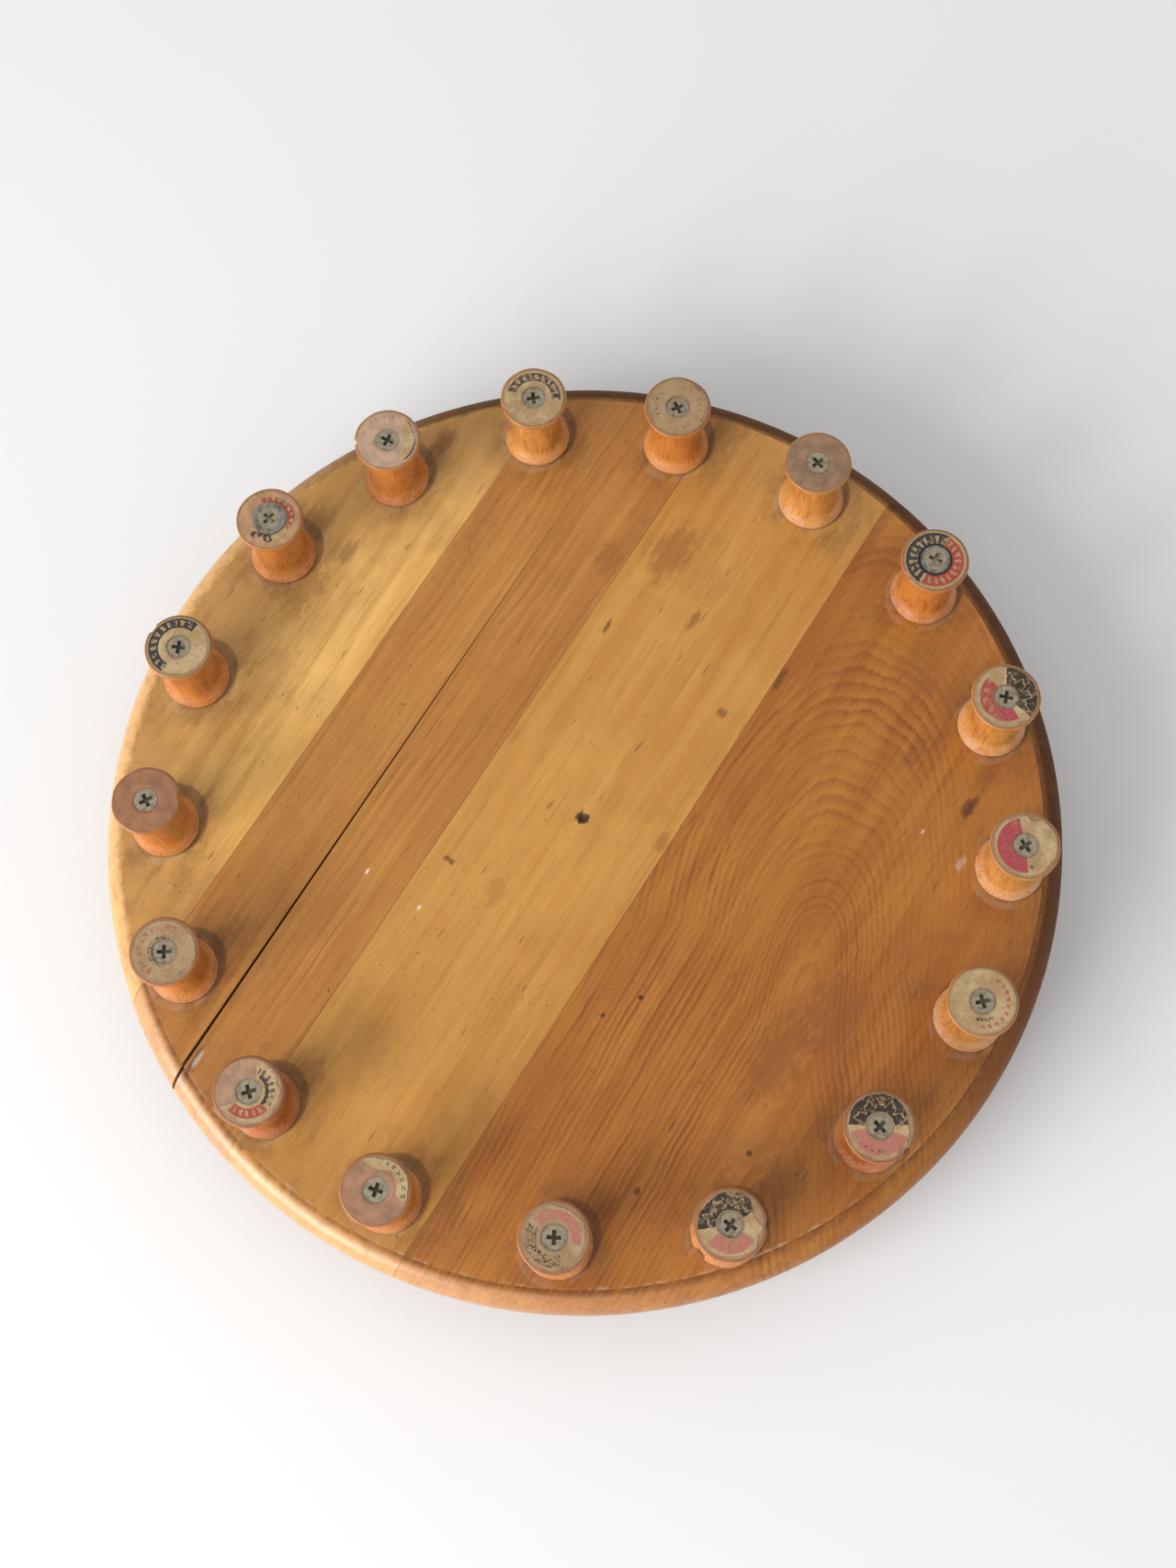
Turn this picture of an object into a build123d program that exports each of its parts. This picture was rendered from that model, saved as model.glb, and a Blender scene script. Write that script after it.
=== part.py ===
from build123d import *
import math
import os

# A yarn swift: a round board of glued planks that turns on a ball bearing above a
# smaller base, with seventeen thread spools screwed upright round its edge as pegs.
# Millimetres, +Z up. The origin is on the table, under the centre of the board.
# The planks run along Y.

# --- Feet and base ---------------------------------------------------------------
foot_radius = 12.0
foot_height = 3.0
foot_circle = 82.0
foot_count = 4
base_radius = 101.6
base_thickness = 18.0
base_edge_radius = 3.0

# --- Ball bearing ------------------------------------------------------------------
bearing_side = 101.6
bearing_corner_radius = 9.0
sheet_thickness = 1.2
ball_circle = 38.0
ball_radius = 2.0
ball_count = 36
ball_gap = 0.03
race_depth = 0.3
cage_thickness = 1.2
cage_half_width = 3.1
cage_hole_gap = 0.15
rolled_edge_gap = 0.25
rolled_edge_overlap = 2.2
rolled_edge_to_board_gap = 0.69
collar_to_balls = 8.4
collar_to_dish_gap = 1.2
balls_to_dish_rim = 6.6
corner_hole_spacing = 85.7

# --- Small screws of the bearing -----------------------------------------------------
small_shank_radius = 1.7
small_head_radius = 3.3
small_head_height = 1.7
small_screw_length = 12.7
small_hole_gap = 0.3
access_hole_radius = 9.5

# --- Board -------------------------------------------------------------------------
board_radius = 177.8
board_thickness = 19.0
flat_margin = 8.2
quirk_depth = 1.6
quirk_width = 0.5
bottom_edge_radius = 3.0
pale_joint_x = -101.7
open_joint_x = -72.0
brown_joint_x = -40.5
figured_joint_x = 32.7
open_joint_gap = 1.3
open_joint_end_y = 95.0
compass_hole_radius = 2.4
compass_hole_depth = 1.5

# --- Spools, which stand as the pegs -------------------------------------------------
spool_count = 17
spool_circle = 155.0
first_spool_turn = 129.0
spool_height = 33.4
flange_radius = 12.5
flange_edge = 2.3
flange_edge_round = 0.7
flange_slope = 3.4
barrel_radius = 9.5
bore_radius = 3.6

# --- Paper labels --------------------------------------------------------------------
label_radius = 11.6
label_thickness = 0.15
label_hole_gap = 0.1

# --- Long screws that hold the spools --------------------------------------------------
head_radius = 4.2
head_edge = 0.3
shank_radius = 2.1
screw_length = 50.8
screw_point_length = 5.0
head_angle = 82.0
recess_span = 4.6
recess_width = 1.0
recess_depth = 1.8
recess_taper = 12.0
thread_gap = 0.02
seat_gap = 0.02
washer_thickness = 0.9

# The spools were set out by eye. Each one stands this many degrees round, and this
# many millimetres out, from its even place.
degrees_off = [0, 1, 1, 1, 1, 2, 2, 2.5, 1.5, 1, -1, -0.5, -1, -0.5, -1, -1.5, 0]
outward_off = [0, -1, -1, 1, 1, 2, 2, 0, 3, -1, -1, -1, 0, -1, 1, 1, 0]

# How far each screw was driven below the face of its spool, and where its cross points.
head_sink = [0.2, 0.6, 0.1, 0.0, 0.2, 0.1, 0.0, 0.2, 0.7, 0.2, 0.1, 0.3, 0.2, 0.0, 0.2, 0.0, 0.1]
cross_turn = [40, 55, 70, 10, 20, 65, 45, 75, 85, 30, 15, 50, 35, 60, 25, 80, 5]

# Spools that lost their paper, and the outer radius of the washer that two screws have.
bare_spools = (3, 14)
washer_radius = {4: 5.3, 16: 6.3}

# Broken edges: spool, direction round the spool in degrees, upper or lower flange,
# and the radius of the bite.
nicks = [
    (8, 335, "upper", 1.5),
    (9, 250, "lower", 2.2),
    (14, 40, "upper", 1.6),
    (15, 170, "upper", 1.3),
    (17, 215, "upper", 1.4),
]

# --- Heights of the stack ----------------------------------------------------------------
base_bottom = foot_height
base_top = base_bottom + base_thickness
bearing_height = (3 * sheet_thickness + 2 * (ball_radius + ball_gap - race_depth)
                  + rolled_edge_gap + rolled_edge_to_board_gap)
board_bottom = base_top + bearing_height
board_top = board_bottom + board_thickness
spool_top = board_top + spool_height
cone_height = (head_radius - shank_radius) / math.tan(math.radians(head_angle / 2))


def turned(points):
    """The solid that a closed outline of (radius, height) points sweeps round Z."""
    outline = Polyline(*[(r, 0, z) for r, z in points], close=True)
    return revolve(make_face(outline), Axis.Z)


def ring(inner, outer, low, high):
    """A flat ring between two radii and two heights."""
    return turned([(inner, low), (outer, low), (outer, high), (inner, high)])


def disc(radius, low, high):
    """A plain cylinder about Z between two heights."""
    return Pos(0, 0, low) * Cylinder(radius, high - low, align=(Align.CENTER, Align.CENTER, Align.MIN))


def on_circle(radius, degrees, height=0.0):
    """The place on a circle about Z."""
    angle = math.radians(degrees)
    return Pos(radius * math.cos(angle), radius * math.sin(angle), height)


# --- Board -------------------------------------------------------------------------------
def spool_places():
    """Where each spool stands on the board, with the screw's own turn."""
    places = []
    for index in range(spool_count):
        degrees = first_spool_turn - index * 360 / spool_count + degrees_off[index]
        places.append(on_circle(spool_circle + outward_off[index], degrees))
    return places


def corner_places():
    """The four screw places at the corners of the bearing plates."""
    half = corner_hole_spacing / 2
    return [Pos(x, y, 0) for x in (-half, half) for y in (-half, half)]


def moulded_board():
    """The whole round board before it is divided: a flat top, then a small step and a
    quarter round out to the full width, with a soft lower edge."""
    flat_radius = board_radius - flat_margin
    round_radius = flat_margin - quirk_width
    step = board_top - quirk_depth
    widest = step - round_radius
    corner = math.sqrt(0.5)
    profile = Wire(
        [
            Edge.make_line((0, 0, board_bottom), (board_radius - bottom_edge_radius, 0, board_bottom)),
            Edge.make_three_point_arc(
                (board_radius - bottom_edge_radius, 0, board_bottom),
                (board_radius - bottom_edge_radius * (1 - corner), 0,
                 board_bottom + bottom_edge_radius * (1 - corner)),
                (board_radius, 0, board_bottom + bottom_edge_radius),
            ),
            Edge.make_line((board_radius, 0, board_bottom + bottom_edge_radius), (board_radius, 0, widest)),
            Edge.make_three_point_arc(
                (board_radius, 0, widest),
                (board_radius - round_radius * (1 - corner), 0, widest + round_radius * corner),
                (board_radius - round_radius, 0, step),
            ),
            Edge.make_line((board_radius - round_radius, 0, step), (flat_radius, 0, step)),
            Edge.make_line((flat_radius, 0, step), (flat_radius, 0, board_top)),
            Edge.make_line((flat_radius, 0, board_top), (0, 0, board_top)),
            Edge.make_line((0, 0, board_top), (0, 0, board_bottom)),
        ]
    )
    return revolve(Face(profile), Axis.Z)


def bored_board():
    """The moulded board with every hole that is drilled in it."""
    board = moulded_board()
    for number, place in enumerate(spool_places(), start=1):
        tip = head_top(number) - screw_length
        board -= place * disc(shank_radius + thread_gap, tip, board_top + 1)
    for place in corner_places():
        reach = small_screw_length - sheet_thickness
        board -= place * disc(small_shank_radius + thread_gap, board_bottom - 1, board_bottom + reach)
    compass_hole = turned([(0, board_top - compass_hole_depth), (compass_hole_radius, board_top),
                           (compass_hole_radius, board_top + 1), (0, board_top + 1)])
    return board - compass_hole


def plank(board, left, right):
    """The strip of the board between two joint lines."""
    width = right - left
    strip = Pos(left + width / 2, 0, board_bottom + board_thickness / 2)
    return board & (strip * Box(width, 3 * board_radius, 2 * board_thickness))


def opened_joint():
    """The wedge of air where a glue joint has let go, widest at the edge of the board."""
    outside = -1.1 * board_radius
    wedge = Polyline((open_joint_x, outside), (open_joint_x + open_joint_gap, outside),
                     (open_joint_x, open_joint_end_y), close=True)
    return extrude(Pos(0, 0, board_bottom - 1) * make_face(wedge), board_thickness + 2)


# --- Spools -------------------------------------------------------------------------------
def head_top(number):
    """The height of a screw's head: flush with its washer, or driven a little below the spool's face."""
    if number in washer_radius:
        return spool_top + washer_thickness
    return spool_top - head_sink[number - 1]


def head_cone(grown, top):
    """The flat-headed cone of a countersunk screw, grown all round by a gap."""
    rim = top - head_edge
    return turned([(0, rim - cone_height), (shank_radius + grown, rim - cone_height),
                   (head_radius + grown, rim), (head_radius + grown, top), (0, top)])


def spool(number):
    """A turned wooden thread spool with its bore, its countersink and any broken edge."""
    low_edge = board_top + flange_edge
    high_edge = spool_top - flange_edge
    outline = [
        (bore_radius, board_top),
        (flange_radius, board_top),
        (flange_radius, low_edge),
        (barrel_radius, low_edge + flange_slope),
        (barrel_radius, high_edge - flange_slope),
        (flange_radius, high_edge),
        (flange_radius, spool_top),
        (bore_radius, spool_top),
    ]
    body = turned(outline)
    rims = body.edges().filter_by(lambda edge: abs(edge.radius - flange_radius) < 0.01
                                  if edge.geom_type == GeomType.CIRCLE else False)
    body = fillet(rims, flange_edge_round)
    body -= head_cone(seat_gap, head_top(number))
    if number not in washer_radius:
        body -= disc(head_radius + seat_gap, head_top(number) - head_edge, spool_top + 1)
    for nicked, degrees, flange, size in nicks:
        if nicked == number:
            height = spool_top if flange == "upper" else board_top + flange_edge
            body -= on_circle(flange_radius + size / 3, degrees, height) * Sphere(size)
    return body


def label():
    """The round paper label on the end of a spool, with its hole round the screw head."""
    return ring(head_radius + label_hole_gap, label_radius, spool_top, spool_top + label_thickness)


def wide_label(number):
    """A label whose hole clears the washer that lies on it."""
    inner = washer_radius[number] + label_hole_gap
    return ring(inner, label_radius, spool_top, spool_top + label_thickness)


def long_screw(top, turn):
    """A flat-head wood screw with a cross recess. Its thread is left as a plain shank."""
    tip = top - screw_length
    body = turned([(0, tip), (shank_radius, tip + screw_point_length), (shank_radius, top - 1), (0, top - 1)])
    body += head_cone(0, top)
    cross = Rectangle(recess_span, recess_width) + Rectangle(recess_width, recess_span)
    recess = extrude(Pos(0, 0, top - recess_depth) * cross, recess_depth + 1, taper=-recess_taper / 2)
    return Rot(0, 0, turn) * (body - recess)


def cup_washer(number):
    """A washer under the head of a screw, coned inside to seat it."""
    washer = ring(0, washer_radius[number], spool_top, spool_top + washer_thickness)
    washer -= head_cone(seat_gap, spool_top + washer_thickness)
    return washer


# --- Bearing and base -------------------------------------------------------------------------
def small_screw(direction):
    """A short pan-head screw along Z with its head seated at the origin: direction 1 drives it up."""
    shank = turned([(0, 0), (small_shank_radius, 0),
                    (small_shank_radius, direction * (small_screw_length - 3)),
                    (0, direction * small_screw_length)])
    head = turned([(0, 0), (small_head_radius, 0),
                   (small_head_radius - 0.9, -direction * small_head_height),
                   (0, -direction * small_head_height)])
    return shank + head


def square_sheet(low):
    """A square plate with rounded corners and a screw hole at each of them."""
    outline = RectangleRounded(bearing_side, bearing_side, bearing_corner_radius)
    sheet = extrude(Pos(0, 0, low) * outline, sheet_thickness)
    for place in corner_places():
        sheet -= place * disc(small_shank_radius + small_hole_gap, low - 1, low + sheet_thickness + 1)
    return sheet


ball_height = base_top + sheet_thickness - race_depth + ball_radius + ball_gap
dish_bottom = ball_height + ball_radius + ball_gap - race_depth
dish_top = dish_bottom + sheet_thickness
hook_bottom = dish_top + rolled_edge_gap
hook_top = hook_bottom + sheet_thickness
collar_radius = ball_circle - collar_to_balls
dish_outer_radius = ball_circle + balls_to_dish_rim
collar_outer = collar_radius + sheet_thickness
dish_inner_radius = collar_outer + collar_to_dish_gap


def ball_track():
    """The ring of space in which the balls run."""
    return Pos(0, 0, ball_height) * Torus(ball_circle, ball_radius + ball_gap)


def lower_bearing_plate():
    """The plate on the base. Its collar rises through the middle, and its rolled edge
    holds the upper plate down."""
    plate = square_sheet(base_top) - disc(collar_radius, base_top - 1, base_top + sheet_thickness + 1)
    plate += ring(collar_radius, collar_outer, base_top, hook_top)
    plate += ring(collar_radius, dish_inner_radius + rolled_edge_overlap, hook_bottom, hook_top)
    return plate - ball_track()


def upper_bearing_plate():
    """The plate under the board. Its middle is pressed down into a dish that runs on
    the balls and passes under the rolled edge of the lower plate."""
    ear_bottom = board_bottom - sheet_thickness
    dish_wall = dish_outer_radius - sheet_thickness
    plate = square_sheet(ear_bottom) - disc(dish_wall, ear_bottom - 1, board_bottom + 1)
    plate += ring(dish_wall, dish_outer_radius, dish_bottom, board_bottom)
    plate += ring(dish_inner_radius, dish_outer_radius, dish_bottom, dish_top)
    return plate - ball_track()


def ball_places():
    """The centre of every ball."""
    return [on_circle(ball_circle, index * 360 / ball_count, ball_height) for index in range(ball_count)]


def ball_cage():
    """The flat ring that keeps the balls apart."""
    half = cage_thickness / 2
    cage = ring(ball_circle - cage_half_width, ball_circle + cage_half_width,
                ball_height - half, ball_height + half)
    holes = [place * Cylinder(ball_radius + cage_hole_gap, 3 * cage_thickness) for place in ball_places()]
    return cage - holes


def base_disc():
    """The round base, with the hole through which the upper plate's screws are driven
    as the plate is turned an eighth of a turn past the lower one."""
    base = fillet(disc(base_radius, base_bottom, base_top).edges(), base_edge_radius)
    for place in corner_places():
        reach = small_screw_length - sheet_thickness
        base -= place * disc(small_shank_radius + thread_gap, base_top - reach, base_top + 1)
    access_circle = corner_hole_spacing * math.sqrt(0.5)
    return base - Pos(access_circle, 0, 0) * disc(access_hole_radius, base_bottom - 1, base_top + 1)


def felt_foot(index):
    """One glued felt pad under the base."""
    degrees = 45 + index * 360 / foot_count
    return on_circle(foot_circle, degrees) * disc(foot_radius, 0, foot_height)


# --- All the pieces, by name ---------------------------------------------------------------
def all_pieces():
    board = bored_board()
    wedge = opened_joint()
    pieces = {
        "pale_outer_plank": plank(board, -board_radius - 1, pale_joint_x),
        "tan_narrow_plank": plank(board, pale_joint_x, open_joint_x),
        "brown_narrow_plank": plank(board, open_joint_x, brown_joint_x) - wedge,
        "pale_centre_plank": plank(board, brown_joint_x, figured_joint_x),
        "figured_wide_plank": plank(board, figured_joint_x, board_radius + 1),
    }
    screws = []
    washers = []
    for number, place in enumerate(spool_places(), start=1):
        pieces[f"spool_{number:02d}"] = place * spool(number)
        if number in washer_radius:
            washers.append(place * cup_washer(number))
            pieces[f"label_{number:02d}"] = place * wide_label(number)
        elif number not in bare_spools:
            pieces[f"label_{number:02d}"] = place * label()
        screws.append(place * long_screw(head_top(number), cross_turn[number - 1]))
    pieces["spool_screws"] = Compound(screws)
    pieces["cup_washers"] = Compound(washers)

    pieces["upper_bearing_plate"] = upper_bearing_plate()
    pieces["lower_bearing_plate"] = lower_bearing_plate()
    pieces["bearing_balls"] = Compound([place * Sphere(ball_radius) for place in ball_places()])
    pieces["ball_cage"] = ball_cage()
    up = [place * Pos(0, 0, board_bottom - sheet_thickness) * small_screw(1) for place in corner_places()]
    down = [place * Pos(0, 0, base_top + sheet_thickness) * small_screw(-1) for place in corner_places()]
    pieces["upper_bearing_screws"] = Compound(up)
    pieces["lower_bearing_screws"] = Compound(down)
    pieces["base_disc"] = base_disc()
    for index in range(foot_count):
        pieces[f"felt_foot_{index + 1}"] = felt_foot(index)
    return pieces


os.makedirs("parts", exist_ok=True)
for name, piece in all_pieces().items():
    export_step(piece, f"parts/{name}.step")
    print(name, round(piece.volume, 1))
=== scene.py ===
# %% [markdown]
# # A yarn swift made from a board and seventeen thread spools
# This lesson dresses a finished CAD model. The model already holds every piece at its
# real size, so nothing here is fitted by eye: we load it as a fixed frame, ask it where
# things are, and give each piece a mesh or a finish that stands up to a close look.

# %% Load the frame
import math
import random

import bmesh
import bpy
from mathutils import Matrix, Vector


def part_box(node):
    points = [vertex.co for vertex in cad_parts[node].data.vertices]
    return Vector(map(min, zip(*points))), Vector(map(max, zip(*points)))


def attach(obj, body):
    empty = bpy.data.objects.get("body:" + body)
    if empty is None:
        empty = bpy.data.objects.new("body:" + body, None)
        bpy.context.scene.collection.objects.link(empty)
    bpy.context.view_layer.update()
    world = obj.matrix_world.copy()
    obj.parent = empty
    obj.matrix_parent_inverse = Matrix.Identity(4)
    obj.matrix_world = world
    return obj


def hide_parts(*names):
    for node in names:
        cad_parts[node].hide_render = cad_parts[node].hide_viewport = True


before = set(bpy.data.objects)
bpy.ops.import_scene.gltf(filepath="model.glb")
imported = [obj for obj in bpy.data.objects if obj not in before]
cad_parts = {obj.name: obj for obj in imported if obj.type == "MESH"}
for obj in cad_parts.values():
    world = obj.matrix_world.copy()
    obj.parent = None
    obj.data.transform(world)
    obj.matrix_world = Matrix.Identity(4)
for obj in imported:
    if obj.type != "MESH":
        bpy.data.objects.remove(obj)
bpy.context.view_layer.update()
print("pieces in the frame:", len(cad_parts))

# %% [markdown]
# ## Places and sizes
# The board's planks run along Y. Its top, its radius and the centre of each spool are
# read from the frame's boxes, so this script follows the CAD model if a size changes.
# One millimetre has a name of its own, because wood wear is easiest to think of in
# millimetres while Blender counts in metres.

# %% Places and sizes
MM = 0.001
SPOOLS = sorted(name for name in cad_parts
                if name.startswith("spool_") and name != "spool_screws")

board_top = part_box("pale_centre_plank")[1].z
board_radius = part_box("pale_centre_plank")[1].y
spool_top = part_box("spool_01")[1].z
spool_height = spool_top - board_top
flange_radius = (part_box("spool_01")[1].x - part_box("spool_01")[0].x) / 2


def middle(node):
    """The centre of a node's box, on the board's top."""
    low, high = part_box(node)
    return Vector(((low.x + high.x) / 2, (low.y + high.y) / 2, board_top))


spool_places = {name: middle(name) for name in SPOOLS}
print("spools:", len(SPOOLS), "each", round(spool_height / MM, 1), "mm tall")

# %% [markdown]
# ## Where we stand
# We look down at the board from the front, leaning a little away from straight down,
# with the planks rising to the right. Everything that belongs to the room, such as the
# window and the camera, is set out in the viewer's own left, right and forward, and
# one helper turns those into the board's frame.

# %% The viewer's frame
VIEW_TURN = math.radians(38)


def seen(right, away, up):
    """A place given as the viewer sees it, in metres from the point on the table under the board."""
    return Matrix.Rotation(VIEW_TURN, 4, "Z") @ Vector((right, away, up))


def clock(hour):
    """The direction of an hour on a dial as the viewer sees it, as an angle in the board's frame."""
    return math.radians(90 - 30 * hour) + VIEW_TURN


# %% [markdown]
# The camera is a moderate long lens on a 36 mm frame. It hangs a little more than four
# board radii above the wood and leans 16 degrees. Building its rotation from three
# plain turns keeps each of them readable: turn to the viewer, lean, then roll.

# %% Camera
LENS = 46.55
camera_data = bpy.data.cameras.new("camera")
camera_data.lens = LENS
camera_data.sensor_width = 36
camera = bpy.data.objects.new("camera", camera_data)
bpy.context.scene.collection.objects.link(camera)
lean = Matrix.Rotation(math.radians(16.23), 4, "X")
swing = Matrix.Rotation(math.radians(-0.26), 4, "Y")
roll = Matrix.Rotation(math.radians(-5.63), 4, "Z")
stand = seen(0, -1.112 * board_radius, board_top + 4.062 * board_radius)
camera.matrix_world = Matrix.Translation(stand) @ Matrix.Rotation(VIEW_TURN, 4, "Z") @ lean @ swing @ roll
bpy.context.scene.camera = camera
print("camera height", round(stand.z, 3))

# %% [markdown]
# ## Writing shader maths as Python
# A material in Blender is a graph of nodes. Long chains of Math nodes are hard to read,
# so a small class wraps a socket and lets ordinary operators add the nodes. An
# expression such as `(wear * 0.5 + grain) < 0.3` then builds itself.

# %% Signal: one socket with operators
class Signal:
    """A number, colour or vector that comes out of a node."""

    def __init__(self, finish, socket):
        self.finish = finish
        self.socket = socket

    def maths(self, operation, *values):
        sockets = dict(enumerate(values))
        return self.finish.node("ShaderNodeMath", {"operation": operation}, sockets)

    def __add__(self, other):
        return self.maths("ADD", self, other)

    def __radd__(self, other):
        return self.maths("ADD", other, self)

    def __sub__(self, other):
        return self.maths("SUBTRACT", self, other)

    def __rsub__(self, other):
        return self.maths("SUBTRACT", other, self)

    def __mul__(self, other):
        return self.maths("MULTIPLY", self, other)

    def __rmul__(self, other):
        return self.maths("MULTIPLY", other, self)

    def __truediv__(self, other):
        return self.maths("DIVIDE", self, other)

    def __mod__(self, other):
        return self.maths("FLOORED_MODULO", self, other)

    def __lt__(self, other):
        return self.maths("LESS_THAN", self, other)

    def __abs__(self):
        return self.maths("ABSOLUTE", self)

    def sine(self):
        return self.maths("SINE", self)

    def root(self):
        return self.maths("SQRT", self)

    def least(self, other):
        return self.maths("MINIMUM", self, other)

    def most(self, other):
        return self.maths("MAXIMUM", self, other)

    def output(self, which):
        """Another output of the same node."""
        return Signal(self.finish, self.socket.node.outputs[which])


# %% [markdown]
# The second class holds one material. Its `node` method makes any node: it sets the
# node's own settings first, then fills or links the sockets. The few methods after it
# are the patterns that wood, paper and metal all share: noise, a soft step between two
# values, and a mix of two colours by a mask.

# %% Finish: one material
class Finish:
    """A material with one Principled shader, and the means to feed it."""

    def __init__(self, name):
        self.material = bpy.data.materials.new(name)
        self.material.use_nodes = True
        self.tree = self.material.node_tree
        self.shader = next(n for n in self.tree.nodes if n.type == "BSDF_PRINCIPLED")

    def link(self, socket, value):
        if isinstance(value, Signal):
            self.tree.links.new(value.socket, socket)
        else:
            socket.default_value = value

    def node(self, kind, settings=None, sockets=None, output=0):
        made = self.tree.nodes.new(kind)
        for name, value in (settings or {}).items():
            setattr(made, name, value)
        for name, value in (sockets or {}).items():
            self.link(made.inputs[name], value)
        return Signal(self, made.outputs[output])

    def place(self):
        """The point's own place on the piece, in metres."""
        return self.node("ShaderNodeTexCoord", output="Object")

    def split(self, vector):
        x = self.node("ShaderNodeSeparateXYZ", None, {0: vector})
        return x, x.output(1), x.output(2)

    def vector(self, x, y, z):
        return self.node("ShaderNodeCombineXYZ", None, {0: x, 1: y, 2: z})

    def scaled(self, vector, stretch):
        return self.node("ShaderNodeVectorMath", {"operation": "MULTIPLY"}, {0: vector, 1: stretch})

    def noise(self, vector, scale, detail=3.0, roughness=0.5, distortion=0.0):
        sockets = {"Vector": vector, "Scale": scale, "Detail": detail, "Roughness": roughness,
                   "Distortion": distortion}
        return self.node("ShaderNodeTexNoise", None, sockets)

    def step(self, value, low, high):
        """Nought below low, one above high, and a soft rise between them."""
        settings = {"interpolation_type": "SMOOTHSTEP"}
        return self.node("ShaderNodeMapRange", settings, {"Value": value, 1: low, 2: high})

    def mix(self, mask, first, second):
        """A colour: the first where the mask is nought and the second where it is one."""
        sockets = {0: mask, 6: self.colour(first), 7: self.colour(second)}
        return self.node("ShaderNodeMix", {"data_type": "RGBA"}, sockets, 2)

    def colour(self, value):
        return value if isinstance(value, Signal) else (*value, 1)

    def bump(self, height, distance, strength=1.0, under=None):
        sockets = {"Height": height, "Distance": distance, "Strength": strength}
        if under is not None:
            sockets["Normal"] = under
        return self.node("ShaderNodeBump", None, sockets)

    def surface(self, colour, roughness, normal=None, **constants):
        """Feeds the shader and returns the finished material."""
        self.link(self.shader.inputs["Base Color"], colour)
        self.link(self.shader.inputs["Roughness"], roughness)
        if normal is not None:
            self.link(self.shader.inputs["Normal"], normal)
        for name, value in constants.items():
            self.shader.inputs[name.replace("_", " ")].default_value = value
        return self.material


def dress(node, material):
    """Gives a CAD node its finish."""
    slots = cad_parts[node].data.materials
    slots.clear()
    slots.append(material)


# %% [markdown]
# ## Board wood
# The board is glued from five planks of a pale close-grained wood under an old amber
# varnish. Four things make it look like wood: a slow change of tone along each plank,
# growth rings cut at a slant, thousands of short dark pores that all point along the
# grain, and the dirt of use. We build them in that order. The rings come from one
# number, the distance from the heart of the tree, and each plank measures it its own
# way: nearly straight lines on the narrow planks, and nested arches on the wide one.

# %% Ring distance of each plank
EYE = Vector((0.098, 0.001, 0))
EYE_TURN = math.radians(19)


def straight_rings(slant):
    """Growth rings that run along the plank and drift slowly across it, all equally strong."""
    return lambda finish, x, y: (x + y * slant, 1.0)


def arched_rings(finish, x, y):
    """Nested arches whose legs open towards one end of the plank, with a small eye between them."""
    along = (y - EYE.y) * math.cos(EYE_TURN) - (x - EYE.x) * math.sin(EYE_TURN)
    across = (x - EYE.x) * math.cos(EYE_TURN) + (y - EYE.y) * math.sin(EYE_TURN)
    rise = along.most(0.0) * 0.47
    arch = (across * across + rise * rise + 0.00006).root() + along.least(0.0) * 0.30
    from_eye = (across * across + along * along * 0.4).root()
    eye = (1 - finish.step(from_eye, 0.0, 0.028)) * 0.011
    return arch - eye, 1.0 - finish.step(across, 0.022, 0.060) * 0.55


# %% [markdown]
# A dark smudge lies behind the foot of every spool, on the side away from the window,
# and spreads a little along the grain: it is partly dirt and partly a painted shadow,
# with a thin painted contact shade right at the foot. A thin pale line in front of each
# foot, on the window side, is partly old wax and partly a painted sheen. Both masks start
# from the distance to the nearest spool, found by taking the least of a few distances in
# a loop, and differ in which way the feet are moved. Only the spools near a plank are
# asked for, to keep each material small.

# %% Dirt and painted shadow round the spools
def distance_to_spools(finish, x, y, plank, lean):
    """How far a point lies outside the nearest spool's foot, in metres, with every foot moved by the lean."""
    low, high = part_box(plank)
    nearest = None
    for place in spool_places.values():
        if low.x - 0.045 < place.x < high.x + 0.045:
            dx = x - (place.x + lean.x)
            dy = (y - (place.y + lean.y)) * 0.9
            gap = (dx * dx + dy * dy).root() - flange_radius
            nearest = gap if nearest is None else nearest.least(gap)
    return nearest


# %% [markdown]
# Years of use left marks of their own: drips, knocks, ink dots and dark stains. They
# are a list of places as the viewer sees them, in millimetres from the middle of the
# board, each with its half width, its half length along the grain, a colour and a
# strength. A noise added to the distance breaks every outline.

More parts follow.
